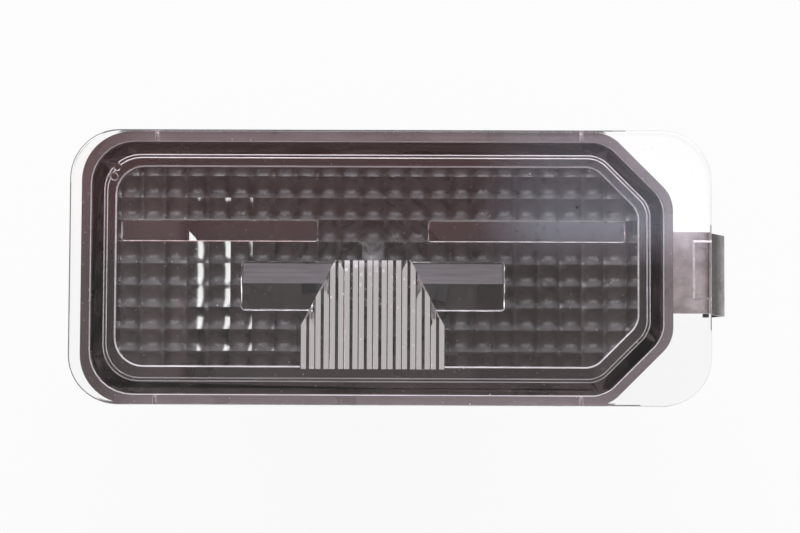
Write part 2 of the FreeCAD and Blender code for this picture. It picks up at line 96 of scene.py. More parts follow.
# Bulb
BULB_WALL = 0.55 * MM
BULB_NECK = 7.0 * MM
BULB_BASE = (4.5 * MM, 1.3 * MM)
COIL_WIRE = 0.09 * MM
COIL_TURNS = 9
COIL_STEPS = 12

LENS_LOW, LENS_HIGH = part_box("lens")
RIM_LOW, RIM_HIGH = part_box("housing")
GLASS_LOW, GLASS_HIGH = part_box("bulb_glass")
FILAMENT_LOW, FILAMENT_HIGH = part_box("filament")


def length(name, description, value):
    """A length property, in metres, from a value in millimetres."""
    return bpy.props.FloatProperty(
        name=name, description=description, default=value * MM, unit="LENGTH", precision=5)


def colour(name, description, value):
    """A colour property."""
    return bpy.props.FloatVectorProperty(
        name=name, description=description, default=value, size=3, subtype="COLOR", min=0.0, max=1.0)


class LensSizes(bpy.types.PropertyGroup):
    """Sizes of the clear lens moulding."""
    plate_thickness: length("Plate thickness", "Thickness of the flat plate", 2.6)
    plate_corner: length("Plate corner", "Radius of the plate's corners in plan", 5.7)
    plate_edge: length("Plate edge", "Rounding of the plate's front edge", 0.3)
    lip: length("Lip", "Width of the housing's lip outside the weld tongue", 1.03)
    tongue: length("Tongue", "Distance from the rim to the inside of the weld tongue", 2.6)
    tongue_drop: length("Tongue drop", "Depth of the weld tongue under the plate", 1.6)
    step: length("Step", "Distance from the rim to the inside of the step beside the tongue", 2.95)
    pad: length("Pad", "Distance from the rim to the edge of the optic area", 4.1)
    pad_drop: length("Pad drop", "Depth of the optic area under the plate", 0.6)
    pad_rise: length("Pad rise", "How much further in the lower side of the optic area stands", 0.35)
    root: length("Root", "Width of the flare where a wall meets the plate", 0.13)
    bead: length("Bead", "Width of the bead round the optic area", 0.38)
    bead_drop: length("Bead drop", "How far the bead stands out under the optic area", 0.12)
    field_edge: length("Field edge", "Rounding of the edges of the plain fields and the bar", 0.13)
    field_corner: length("Field corner", "Radius of the corners of the plain fields and the bar", 0.5)
    pitch: length("Pitch", "Side of one square pillow", 2.54)
    pillow_radius: length("Pillow radius", "Radius of a pillow's curve along each side", 2.3)
    first_column: length("First column", "Place of the first pillow's left side", -31.2)
    first_row: length("First row", "Place of the first pillow's upper side", 10.7)
    optic_middle: length("Optic middle", "Middle of the prism bar and the fluted block", -1.99)
    bar_top: length("Bar top", "Place of the bar's upper side", 0.82)
    bar_ridge: length("Bar ridge", "Place where the bar's slanted face ends", -1.65)
    bar_bottom: length("Bar bottom", "Place of the bar's lower side", -4.94)
    bar_reach: length("Bar reach", "Half the length of the bar", 15.3)
    flute_top: length("Flute top", "Place of the upper end of the roof prisms", 0.94)
    flute_bottom: length("Flute bottom", "Place of the lower end of the roof prisms", -11.7)
    flute_shoulder: length("Flute shoulder", "Place where the fluted block stops widening", -6.74)
    flute_top_width: length("Flute top width", "Width of the fluted block at its upper end", 8.8)
    flute_width: length("Flute width", "Width of the fluted block under its shoulders", 16.7)
    flute_hip: length("Flute hip", "Width of the slant where the fluted block narrows", 0.2)
    notch_depth: length("Notch depth", "Depth of the notch in the clip end of the plate", 2.1)
    notch_width: length("Notch width", "Width of the notch in the clip end of the plate", 6.9)
    notch_height: length("Notch height", "Height of the notch in the clip end of the plate", 1.0)
    notch_place: length("Notch place", "Middle of the notch across the lamp", -0.15)


class Finishes(bpy.types.PropertyGroup):
    """Colours of the lamp's materials."""
    lens: colour("Lens", "Clear acrylic", (0.985, 0.985, 0.985))
    satin: colour("Satin face", "Satin face of the prism bar", (0.93, 0.88, 0.95))
    frosted: colour("Frosted edge", "Frosted flares of the lens", (0.95, 0.90, 0.91))
    housing: colour("Housing", "Black housing plastic", (0.042, 0.029, 0.028))
    housing_dust: colour("Housing dust", "Dust on the housing", (0.20, 0.175, 0.17))
    # Painted sheen on the top face of the housing's lip; three times this colour is painted light in the
    # lip's slots.
    lip_sheen: colour("Housing lip", "Rubbed top of the housing's lip", (0.172, 0.146, 0.151))
    clip: colour("Clip", "Spring steel", (0.62, 0.57, 0.58))
    clip_stain: colour("Clip stain", "Darker stains on the spring steel", (0.33, 0.30, 0.30))
    holder: colour("Holder", "Dark holder plastic", (0.045, 0.045, 0.047))
    seal: colour("Seal", "Seal rubber", (0.022, 0.022, 0.023))
    brass: colour("Brass", "Contact brass", (0.72, 0.53, 0.27))
    glass: colour("Glass", "Bulb glass", (0.90, 0.90, 0.90))
    tungsten: colour("Tungsten", "Filament and lead wire", (0.42, 0.41, 0.40))


class StageSizes(bpy.types.PropertyGroup):
    """Camera, lights and floor."""
    camera_place: bpy.props.FloatVectorProperty(
        name="Camera place", description="Where the camera stands", subtype="TRANSLATION", unit="LENGTH",
        default=(5.95 * MM, -26.96 * MM, 348.14 * MM))
    camera_turn: bpy.props.FloatVectorProperty(
        name="Camera turn", description="How the camera is turned", subtype="EULER",
        default=(math.radians(4.511), math.radians(0.777), math.radians(0.268)))
    camera_lens: bpy.props.FloatProperty(
        name="Camera lens", description="Focal length for a sensor 36 mm wide", default=134.46)
    floor: colour("Floor", "Pale floor", (0.86, 0.86, 0.86))
    surround: colour("Surround", "Soft light from all round", (0.50, 0.465, 0.465))
    softbox: colour("Softbox", "Light of the large softbox", (0.95, 0.93, 1.0))
    softbox_size: bpy.props.FloatVectorProperty(
        name="Softbox size", description="Width and height of the large softbox", size=2,
        unit="LENGTH", default=(0.84, 0.46))
    softbox_place: bpy.props.FloatVectorProperty(
        name="Softbox place", description="Where the large softbox stands", subtype="TRANSLATION",
        unit="LENGTH", default=(0.0, 0.46, 0.42))
    softbox_radiance: bpy.props.FloatProperty(
        name="Softbox radiance", description="How bright the large softbox's face is", default=3.2)
    cool: colour("Cool glow", "Soft glow overhead at the right", (0.82, 0.84, 1.0))
    cool_strength: bpy.props.FloatProperty(
        name="Cool strength", description="How bright the glow overhead at the right is", default=3.2)
    warm: colour("Warm glow", "Soft glow overhead at the left", (0.90, 0.54, 0.55))


# Node groups and materials

def link(tree, source, target):
    """Joins two node sockets."""
    tree.links.new(source, target)


def new_group(name, inputs, outputs):
    """An empty shader node group with named float or vector sockets."""
    group = bpy.data.node_groups.new(name, "ShaderNodeTree")
    for socket, kind, value in inputs:
        item = group.interface.new_socket(name=socket, in_out="INPUT", socket_type=kind)
        if value is not None:
            item.default_value = value
    for socket in outputs:
        group.interface.new_socket(name=socket, in_out="OUTPUT", socket_type="NodeSocketFloat")
    return group, group.nodes.new("NodeGroupInput"), group.nodes.new("NodeGroupOutput")


def map_range(tree, value, low, high, to_low, to_high):
    """A clamped map from one range to another, as a node."""
    node = tree.nodes.new("ShaderNodeMapRange")
    node.clamp = True
    link(tree, value, node.inputs["Value"])
    for socket, amount in (("From Min", low), ("From Max", high), ("To Min", to_low), ("To Max", to_high)):
        node.inputs[socket].default_value = amount
    return node.outputs["Result"]


def math_node(tree, operation, first, second):
    """A math node; the second value may be a number or a socket."""
    node = tree.nodes.new("ShaderNodeMath")
    node.operation = operation
    link(tree, first, node.inputs[0])
    if isinstance(second, (int, float)):
        node.inputs[1].default_value = second
    else:
        link(tree, second, node.inputs[1])
    return node.outputs["Value"]


def noise(tree, vector, scale, detail):
    """A noise texture; the scale may be a number or a socket."""
    node = tree.nodes.new("ShaderNodeTexNoise")
    link(tree, vector, node.inputs["Vector"])
    if isinstance(scale, (int, float)):
        node.inputs["Scale"].default_value = scale
    else:
        link(tree, scale, node.inputs["Scale"])
    node.inputs["Detail"].default_value = detail
    return node.outputs["Fac"]


def moulded_grain():
    """Fine grain and slow mottling of a moulded or rolled surface."""
    group, given, result = new_group(
        "moulded_grain",
        (("Vector", "NodeSocketVector", None), ("Grain Scale", "NodeSocketFloat", 4000.0),
         ("Mottle Scale", "NodeSocketFloat", 160.0)),
        ("Grain", "Mottle"))
    grain = noise(group, given.outputs["Vector"], given.outputs["Grain Scale"], 3.0)
    mottle = noise(group, given.outputs["Vector"], given.outputs["Mottle Scale"], 4.0)
    link(group, map_range(group, grain, 0.3, 0.7, 0.0, 1.0), result.inputs["Grain"])
    link(group, map_range(group, mottle, 0.35, 0.65, 0.0, 1.0), result.inputs["Mottle"])
    return group


def scattered(tree, vector, scale, share, core, edge):
    """Marks at the middles of some of a Voronoi pattern's cells."""
    cells = tree.nodes.new("ShaderNodeTexVoronoi")
    link(tree, vector, cells.inputs["Vector"])
    link(tree, scale, cells.inputs["Scale"])
    chance = tree.nodes.new("ShaderNodeSeparateColor")
    link(tree, cells.outputs["Color"], chance.inputs["Color"])
    near = map_range(tree, cells.outputs["Distance"], core, edge, 1.0, 0.0)
    kept = math_node(tree, "LESS_THAN", chance.outputs["Red"], share)
    return math_node(tree, "MULTIPLY", near, kept)


def dust_and_scratches():
    """Scattered dust specks and short fine scratches."""
    group, given, result = new_group(
        "dust_and_scratches",
        (("Vector", "NodeSocketVector", None), ("Speck Scale", "NodeSocketFloat", 1500.0),
         ("Speck Share", "NodeSocketFloat", 0.12), ("Scratch Scale", "NodeSocketFloat", 900.0),
         ("Scratch Share", "NodeSocketFloat", 0.06)),
        ("Specks", "Scratches"))
    specks = scattered(group, given.outputs["Vector"], given.outputs["Speck Scale"],
                       given.outputs["Speck Share"], 0.10, 0.30)
    link(group, specks, result.inputs["Specks"])
    streaks = None
    for turn in (0.5, 1.7, 2.6):
        stretch = group.nodes.new("ShaderNodeMapping")
        stretch.inputs["Rotation"].default_value = (0.0, 0.0, turn)
        stretch.inputs["Scale"].default_value = (1.0, 0.04, 1.0)
        link(group, given.outputs["Vector"], stretch.inputs["Vector"])
        streak = scattered(group, stretch.outputs["Vector"], given.outputs["Scratch Scale"],
                           given.outputs["Scratch Share"], 0.05, 0.12)
        streaks = streak if streaks is None else math_node(group, "MAXIMUM", streaks, streak)
    link(group, streaks, result.inputs["Scratches"])
    return group


def shared_group(name, maker):
    """A node group that is built once."""
    found = bpy.data.node_groups.get(name)
    return found if found is not None else maker()


def start_material(name):
    """A new material, its node tree, its Principled shader and Object coordinates."""
    material = bpy.data.materials.new(name)
    material.use_nodes = True
    tree = material.node_tree
    place = tree.nodes.new("ShaderNodeTexCoord")
    return material, tree, tree.nodes["Principled BSDF"], place.outputs["Object"]


def use_group(tree, group, vector, **values):
    """Places a node group and sets its inputs; underscores in names stand for spaces."""
    node = tree.nodes.new("ShaderNodeGroup")
    node.node_tree = group
    link(tree, vector, node.inputs["Vector"])
    for socket, value in values.items():
        node.inputs[socket.replace("_", " ")].default_value = value
    return node


def mix_colour(tree, amount, first, second):
    """A mix of two colours by a socket; each colour is a triple or a socket."""
    node = tree.nodes.new("ShaderNodeMix")
    node.data_type = "RGBA"
    link(tree, amount, node.inputs[0])
    for socket, value in ((node.inputs[6], first), (node.inputs[7], second)):
        if isinstance(value, bpy.types.NodeSocket):
            link(tree, value, socket)
        else:
            socket.default_value = (*value, 1.0)
    return node.outputs[2]


def bump(tree, shader, height, strength, distance):
    """A bump node from a height to the shader's normal."""
    node = tree.nodes.new("ShaderNodeBump")
    node.inputs["Strength"].default_value = strength
    node.inputs["Distance"].default_value = distance
    link(tree, height, node.inputs["Height"])
    link(tree, node.outputs["Normal"], shader.inputs["Normal"])


def let_lamps_through(tree, shader, shade):
    """Puts a plain transparent shader in for rays from lamps, so that they reach what is behind."""
    output = tree.nodes["Material Output"]
    path = tree.nodes.new("ShaderNodeLightPath")
    clear = tree.nodes.new("ShaderNodeBsdfTransparent")
    clear.inputs["Color"].default_value = (shade, shade, shade, 1.0)
    mix = tree.nodes.new("ShaderNodeMixShader")
    link(tree, path.outputs["Is Shadow Ray"], mix.inputs["Fac"])
    link(tree, shader.outputs["BSDF"], mix.inputs[1])
    link(tree, clear.outputs["BSDF"], mix.inputs[2])
    link(tree, mix.outputs["Shader"], output.inputs["Surface"])


def lens_material(name, tint, rough, worn):
    """Clear acrylic with dust specks and fine scratches; rough where clean and worn where marked."""
    material, tree, shader, place = start_material(name)
    wear = use_group(tree, shared_group("dust_and_scratches", dust_and_scratches), place,
                     Speck_Scale=1300.0, Speck_Share=0.10, Scratch_Scale=600.0, Scratch_Share=0.05)
    dusty = math_node(tree, "MAXIMUM", wear.outputs["Specks"], wear.outputs["Scratches"])
    link(tree, map_range(tree, dusty, 0.0, 1.0, rough, worn), shader.inputs["Roughness"])
    dull = tuple(0.95 * c for c in tint)
    link(tree, mix_colour(tree, wear.outputs["Specks"], tuple(tint), dull), shader.inputs["Base Color"])
    shader.inputs["IOR"].default_value = 1.49
    shader.inputs["Transmission Weight"].default_value = 1.0
    let_lamps_through(tree, shader, 0.9)
    return material


def satin_material(name, tint, clear):
    """Acrylic with a satin moulded face in fine lines along the lamp; clear is its share of clear body."""
    material, tree, shader, place = start_material(name)
    stretch = tree.nodes.new("ShaderNodeMapping")
    stretch.inputs["Scale"].default_value = (0.05, 1.0, 1.0)
    link(tree, place, stretch.inputs["Vector"])
    lines = noise(tree, stretch.outputs["Vector"], 2600.0, 2.0)
    link(tree, map_range(tree, lines, 0.35, 0.65, 0.42, 0.58), shader.inputs["Roughness"])
    darker = tuple(0.72 * c for c in tint)
    link(tree, mix_colour(tree, map_range(tree, lines, 0.35, 0.65, 0.0, 1.0), darker, tuple(tint)),
         shader.inputs["Base Color"])
    shader.inputs["IOR"].default_value = 1.49
    shader.inputs["Transmission Weight"].default_value = clear
    let_lamps_through(tree, shader, 0.9)
    return material


def housing_material(base, dust, lip):
    """Black moulded plastic, softly shiny, with dust and handling marks, a painted sheen on the lip's top
    face and painted light in the lip's slots.
    """
    material, tree, shader, place = start_material("housing_plastic")
    grain = use_group(tree, shared_group("moulded_grain", moulded_grain), place,
                      Grain_Scale=5000.0, Mottle_Scale=140.0)
    wear = use_group(tree, shared_group("dust_and_scratches", dust_and_scratches), place,
                     Speck_Scale=1600.0, Speck_Share=0.16, Scratch_Scale=800.0, Scratch_Share=0.08)
    lighter = tuple(1.35 * c for c in base)
    body = mix_colour(tree, grain.outputs["Mottle"], tuple(base), lighter)
    height = tree.nodes.new("ShaderNodeSeparateXYZ")
    link(tree, place, height.inputs["Vector"])
    # Painted sheen: the lip's top face goes towards the lip colour, faded out near the left end and mottled.
    lip_sheen_mask = map_range(tree, height.outputs["Z"], RIM_HIGH[2] - 0.06 * MM, RIM_HIGH[2] - 0.03 * MM, 0.0, 1.0)
    away = map_range(tree, height.outputs["X"], RIM_LOW[0] + 2 * MM, RIM_LOW[0] + 9 * MM, 0.0, 1.0)
    tone_share = map_range(tree, grain.outputs["Mottle"], 0.0, 1.0, 0.65, 1.0)
    lip_sheen_mask = math_node(tree, "MULTIPLY", math_node(tree, "MULTIPLY", lip_sheen_mask, away), tone_share)
    body = mix_colour(tree, lip_sheen_mask, body, tuple(lip))
    # Painted light in the lip's slots: on the upper outer band, near each slot's place, the colour goes to
    # three times the lip's sheen colour.
    edge = math_node(tree, "ABSOLUTE", height.outputs["Y"], 0.0)
    edge = map_range(tree, edge, RIM_HIGH[1] - 1.2 * MM, RIM_HIGH[1] - 1.1 * MM, 0.0, 1.0)
    upper = map_range(tree, height.outputs["Z"], RIM_HIGH[2] - 1.8 * MM, RIM_HIGH[2] - 1.6 * MM, 0.0, 1.0)
    edge = math_node(tree, "MULTIPLY", edge, upper)
    for place_x in SLOT_PLACES:
        apart = math_node(tree, "ABSOLUTE", math_node(tree, "SUBTRACT", height.outputs["X"], place_x), 0.0)
        near = math_node(tree, "MULTIPLY", map_range(tree, apart, 0.2 * MM, 0.24 * MM, 1.0, 0.0), edge)
        body = mix_colour(tree, near, body, tuple(3 * c for c in lip))
    specks = math_node(tree, "MULTIPLY", wear.outputs["Specks"], 0.7)
    link(tree, mix_colour(tree, specks, body, tuple(dust)), shader.inputs["Base Color"])
    rough = math_node(tree, "MULTIPLY", grain.outputs["Mottle"], 0.12)
    rough = math_node(tree, "ADD", rough, 0.26)
    scratched = math_node(tree, "MULTIPLY", wear.outputs["Scratches"], 0.2)
    link(tree, math_node(tree, "ADD", rough, scratched), shader.inputs["Roughness"])
    bump(tree, shader, grain.outputs["Grain"], 0.25, 0.00002)
    return material


def clip_material(base, stain):
    """Spring steel with a grainy, stained surface, darkened just past the lens's edge and less further out.
    """
    material, tree, shader, place = start_material("clip_spring_steel")
    grain = use_group(tree, shared_group("moulded_grain", moulded_grain), place,
                      Grain_Scale=3500.0, Mottle_Scale=420.0)
    steel = mix_colour(tree, grain.outputs["Mottle"], tuple(stain), tuple(base))
    along = tree.nodes.new("ShaderNodeSeparateXYZ")
    link(tree, place, along.inputs["Vector"])
    # Goes towards near black just past the lens's edge, fading to a smaller share further out.
    past_lens = map_range(tree, along.outputs["X"], LENS_HIGH[0] - 0.1 * MM, LENS_HIGH[0] + 0.2 * MM, 0.0, 1.0)
    tone_share = map_range(tree, along.outputs["X"], LENS_HIGH[0] + 1.2 * MM, LENS_HIGH[0] + 2.3 * MM, 0.9, 0.3)
    dark = math_node(tree, "MULTIPLY", past_lens, tone_share)
    near_black = tuple(0.1 * c for c in stain)
    link(tree, mix_colour(tree, dark, steel, near_black), shader.inputs["Base Color"])
    link(tree, map_range(tree, grain.outputs["Grain"], 0.0, 1.0, 0.28, 0.5), shader.inputs["Roughness"])
    shader.inputs["Metallic"].default_value = 1.0
    bump(tree, shader, grain.outputs["Grain"], 0.4, 0.00003)
    return material


def plain_plastic(name, base, spread, rough, grain_scale):
    """A matt moulding or rubber with grain and slight mottling."""
    material, tree, shader, place = start_material(name)
    grain = use_group(tree, shared_group("moulded_grain", moulded_grain), place,
                      Grain_Scale=grain_scale, Mottle_Scale=180.0)
    darker = tuple(spread * c for c in base)
    link(tree, mix_colour(tree, grain.outputs["Mottle"], darker, tuple(base)), shader.inputs["Base Color"])
    link(tree, map_range(tree, grain.outputs["Grain"], 0.0, 1.0, rough - 0.06, rough + 0.08),
         shader.inputs["Roughness"])
    bump(tree, shader, grain.outputs["Grain"], 0.3, 0.00003)
    return material


def plain_metal(name, base, rough):
    """A drawn or stamped metal with faint tarnish."""
    material, tree, shader, place = start_material(name)
    grain = use_group(tree, shared_group("moulded_grain", moulded_grain), place,
                      Grain_Scale=6000.0, Mottle_Scale=500.0)
    darker = tuple(0.7 * c for c in base)
    link(tree, mix_colour(tree, grain.outputs["Mottle"], darker, tuple(base)), shader.inputs["Base Color"])
    link(tree, map_range(tree, grain.outputs["Grain"], 0.0, 1.0, rough - 0.05, rough + 0.1),
         shader.inputs["Roughness"])
    shader.inputs["Metallic"].default_value = 1.0
    return material


def bulb_material(tint):
    """Thin clear glass with a slight haze."""
    material, tree, shader, place = start_material("bulb_clear_glass")
    grain = use_group(tree, shared_group("moulded_grain", moulded_grain), place,
                      Grain_Scale=900.0, Mottle_Scale=250.0)
    link(tree, map_range(tree, grain.outputs["Mottle"], 0.0, 1.0, 0.0, 0.06), shader.inputs["Roughness"])
    shader.inputs["Base Color"].default_value = (*tint, 1.0)
    shader.inputs["IOR"].default_value = 1.5
    shader.inputs["Transmission Weight"].default_value = 1.0
    let_lamps_through(tree, shader, 0.9)
    return material


# Shapes

def rim_corners(inset):
    """Corners of the housing's outline at a distance inside the rim: place and setback, in metres."""
    mm = inset / MM
    left = RIM_LEFT + mm
    right = RIM_RIGHT - mm
    half = RIM_HALF - mm
    corner = RIM_CORNER - CORNER_SHRINK * mm
    cut = RIM_CUT - CUT_SHRINK * mm
    blend = (RIM_BLEND - BLEND_SHRINK * mm) * math.tan(math.radians(22.5))
    points = ((left, -half, corner), (right - cut, -half, blend), (right, cut - half, blend),
              (right, half - cut, blend), (right - cut, half, blend), (left, half, corner))
    return [tuple(MM * v for v in p) for p in points]


def prism(corners, low, high, segments=8):
    """A closed upright solid over an outline whose corners are rounded."""
    bm = bmesh.new()
    verts = [bm.verts.new((x, y, low)) for x, y, _ in corners]
    bm.faces.new(verts)
    for vert, (_, _, setback) in zip(verts, corners):
        if setback > 0.0:
            bmesh.ops.bevel(bm, geom=[vert], offset=setback, offset_type="OFFSET", segments=segments,
                            profile=0.5, affect="VERTICES", material=-1)
    raised = bmesh.ops.extrude_face_region(bm, geom=bm.faces[:])
    moved = [g for g in raised["geom"] if isinstance(g, bmesh.types.BMVert)]
    bmesh.ops.translate(bm, verts=moved, vec=(0.0, 0.0, high - low))
    bmesh.ops.recalc_face_normals(bm, faces=bm.faces[:])
    return bm


def flared(corners, low, high, width):
    """A solid whose lower edge is cut back at 45 degrees, as where a wall starts from the plate."""
    bm = prism(corners, low, high)
    chamfer(bm, level_edges(bm, low), width)
    return bm


def hollow(corners, low, high, width):
    """The space inside a wall, narrowed at 45 degrees where the wall starts from the plate."""
    bm = prism(corners, low, high)
    chamfer(bm, level_edges(bm, high), width)
    return bm


def bar(profile, axis, start, end):
    """A closed solid: a profile in the plane across an axis (0 for X, 1 for Y), drawn along it."""
    bm = bmesh.new()
    verts = []
    for across, up in profile:
        verts.append(bm.verts.new((start, across, up) if axis == 0 else (across, start, up)))
    bm.faces.new(verts)
    drawn = bmesh.ops.extrude_face_region(bm, geom=bm.faces[:])
    moved = [g for g in drawn["geom"] if isinstance(g, bmesh.types.BMVert)]
    travel = Vector((end - start, 0.0, 0.0)) if axis == 0 else Vector((0.0, end - start, 0.0))
    bmesh.ops.translate(bm, verts=moved, vec=travel)
    bmesh.ops.recalc_face_normals(bm, faces=bm.faces[:])
    return bm


def block(low, high):
    """A closed box between two corners."""
    bm = bmesh.new()
    bmesh.ops.create_cube(bm, size=1.0)
    size = Vector(high) - Vector(low)
    middle = (Vector(high) + Vector(low)) / 2.0
    bmesh.ops.scale(bm, verts=bm.verts[:], vec=size)
    bmesh.ops.translate(bm, verts=bm.verts[:], vec=middle)
    return bm


def round_edges(bm, edges, offset, segments):
    """Rounds edges of a solid."""
    bmesh.ops.bevel(bm, geom=list(edges), offset=offset, offset_type="OFFSET", segments=segments,
                    profile=0.5, affect="EDGES", material=-1, clamp_overlap=True)


def chamfer(bm, edges, width):
    """Cuts edges of a solid back at 45 degrees."""
    round_edges(bm, edges, width, 1)


def level_edges(bm, level):
    """The edges that lie at one height."""
    bm.normal_update()
    found = [e for e in bm.edges if all(abs(v.co.z - level) < 1e-6 for v in e.verts)]
    return [e for e in found if e.calc_face_angle(0.0) > math.radians(10.0)]


def loose_object(name, bm):
    """An object from a bmesh, linked to the scene."""
    mesh = bpy.data.meshes.new(name)
    bm.to_mesh(mesh)
    bm.free()
    obj = bpy.data.objects.new(name, mesh)
    bpy.context.scene.collection.objects.link(obj)
    return obj


def combine(base, steps):
    """Adds, cuts or intersects solids in order; gives the result as a bmesh."""
    body = loose_object("moulding", base)
    tools = []
    for operation, bm in steps:
        tool = loose_object("tool", bm)
        tools.append(tool)
        boolean = body.modifiers.new("join", "BOOLEAN")
        boolean.operation = operation
        boolean.solver = "MANIFOLD"
        boolean.object = tool
    view_layer = bpy.context.view_layer
    view_layer.update()
    made = bpy.data.meshes.new_from_object(body.evaluated_get(bpy.context.evaluated_depsgraph_get()))
    result = bmesh.new()
    result.from_mesh(made)
    bpy.data.meshes.remove(made)
    for obj in [body, *tools]:
        mesh = obj.data
        bpy.data.objects.remove(obj)
        bpy.data.meshes.remove(mesh)
    if not result.faces:
        raise RuntimeError("The solids could not be combined.")
    return result


def shade(bm, sharp):
    """Smooth shading, broken at crisp edges and all round large flat faces."""
    bm.normal_update()
    for face in bm.faces:
        face.smooth = True
    for edge in bm.edges:
        turn = edge.calc_face_angle(math.pi)
        beside_flat = max((face.calc_area() for face in edge.link_faces), default=0.0) > LARGE_FACE
        edge.smooth = turn < math.radians(sharp) and not (beside_flat and turn > math.radians(1.0))


def finish_piece(name, bm, material, body, nodes, sharp=30.0):
    """Makes a bmesh a finished piece: shading, material, slot, body and the nodes it replaces."""
    shade(bm, sharp)
    obj = loose_object(name, bm)
    obj.data.materials.append(material)
    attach(obj, body)
    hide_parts(*nodes)
    return obj


def merged_copy(node):
    """A bmesh copy of a CAD node with its loose triangles merged into faces."""
    bm = bmesh.new()
    bm.from_mesh(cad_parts[node].data)
    bmesh.ops.remove_doubles(bm, verts=bm.verts[:], dist=1e-6)
    bmesh.ops.dissolve_limit(bm, angle_limit=math.radians(0.5), verts=bm.verts[:], edges=bm.edges[:])
    return bm


# Pieces

def optic_corners(sizes, inset):
    """Corners of the optic area's outline, whose lower side stands a little further in than the rim's."""
    return [(x, y + sizes.pad_rise if y < 0.0 else y, setback) for x, y, setback in rim_corners(inset)]


def pillow_drop(sizes, offset):
    """How far a pillow's curve falls back at an offset from its middle."""
    return sizes.pillow_radius - math.sqrt(sizes.pillow_radius ** 2 - offset ** 2)


def field_level(sizes, base):
    """Level of the plain fields, just under the pillows."""
    return base - 2.0 * pillow_drop(sizes, sizes.pitch / 2) - 0.05 * MM


def pillow_slab(sizes, base, top):
    """A slab whose underside is a field of square pillows."""
    pitch = sizes.pitch
    left = sizes.first_column - pitch
    upper = sizes.first_row + pitch
    wide, high = PILLOW_COLUMNS * pitch, PILLOW_ROWS * pitch
    bm = bmesh.new()
    bmesh.ops.create_grid(bm, x_segments=PILLOW_COLUMNS * PILLOW_STEPS,
                          y_segments=PILLOW_ROWS * PILLOW_STEPS, size=0.5)
    bmesh.ops.scale(bm, verts=bm.verts[:], vec=(wide, high, 1.0))
    bmesh.ops.translate(bm, verts=bm.verts[:], vec=(left + wide / 2, upper - high / 2, base))
    full = 2.0 * pillow_drop(sizes, pitch / 2)
    for vert in bm.verts:
        u = (vert.co.x - left) / pitch
        v = (upper - vert.co.y) / pitch
        across = pitch * (u - math.floor(u + 1e-4) - 0.5)
        down = pitch * (v - math.floor(v + 1e-4) - 0.5)
        vert.co.z = base - full + pillow_drop(sizes, across) + pillow_drop(sizes, down)
    raised = bmesh.ops.extrude_face_region(bm, geom=bm.faces[:])
    for item in raised["geom"]:
        if isinstance(item, bmesh.types.BMVert):
            item.co.z = top
    bmesh.ops.recalc_face_normals(bm, faces=bm.faces[:])
    return bm


def plate(sizes, rear, front):
    """The flat plate with rounded corners and edges."""
    (left, _, _), (right, half, _) = LENS_LOW, LENS_HIGH
    corner = sizes.plate_corner
    corners = [(x, y, corner) for x, y in ((left, -half), (right, -half), (right, half), (left, half))]
    bm = prism(corners, rear, front, 12)
    round_edges(bm, level_edges(bm, front), sizes.plate_edge, 3)
    round_edges(bm, level_edges(bm, rear), BITE, 2)
    return bm


def weld_wall(sizes, rear, into):
    """The weld tongue with a 45 degree flare outside it and two inside, at the plate."""
    root = sizes.root
    low = rear - sizes.tongue_drop
    lip = sizes.lip
    return combine(prism(rim_corners(lip + root), low, into), [
        ("UNION", flared(rim_corners(lip), rear - root, into, root)),
        ("DIFFERENCE", hollow(rim_corners(sizes.tongue), low - BITE, rear - root, root)),
        ("DIFFERENCE", hollow(rim_corners(sizes.step), rear - root - BITE, rear + SKIN, root + SKIN))])


def optic_pad(sizes, rear, base, into):
    """The raised optic area: pillows, with a bead and a flare round them."""
    outline = optic_corners(sizes, sizes.pad)
    bead_low = base - sizes.bead_drop
    foot = 1.4 * sizes.root
    bead = combine(flared(outline, bead_low, into, sizes.bead / 2), [
        ("DIFFERENCE", prism(optic_corners(sizes, sizes.pad + sizes.bead), bead_low - BITE, into + BITE)),
        ("UNION", flared(optic_corners(sizes, sizes.pad - foot), rear - foot, into, foot))])
    return combine(pillow_slab(sizes, base, into), [
        ("INTERSECT", prism(outline, base - 3 * MM, into + BITE)), ("UNION", bead)])


def plain_field(sizes, low_corner, high_corner, low, into):
    """A plain raised field with small rounded corners and a fine 45 degree edge."""
    (left, bottom), (right, top) = low_corner, high_corner
    places = ((left, bottom), (right, bottom), (right, top), (left, top))
    bm = prism([(x, y, sizes.field_corner) for x, y in places], low, into, 4)
    chamfer(bm, level_edges(bm, low), sizes.field_edge)
    return bm


def windows(sizes, base, into):
    """The two plain fields in the third row of pillows."""
    pitch = sizes.pitch
    top = sizes.first_row - WINDOW_ROW * pitch
    low = field_level(sizes, base)
    fields = []
    for first in WINDOW_COLUMNS:
        left = sizes.first_column + first * pitch
        fields.append(plain_field(sizes, (left, top - pitch), (left + WINDOW_LENGTH * pitch, top), low, into))
    return fields


def flute_outline(sizes, low, high):
    """The shouldered outline of the fluted block."""
    middle = sizes.optic_middle
    half_top, half = sizes.flute_top_width / 2, sizes.flute_width / 2
    corners = ((middle - half, sizes.flute_bottom, 0), (middle + half, sizes.flute_bottom, 0),
               (middle + half, sizes.flute_shoulder, 0), (middle + half_top, sizes.flute_top, 0),
               (middle - half_top, sizes.flute_top, 0), (middle - half, sizes.flute_shoulder, 0))
    return prism(corners, low, high)


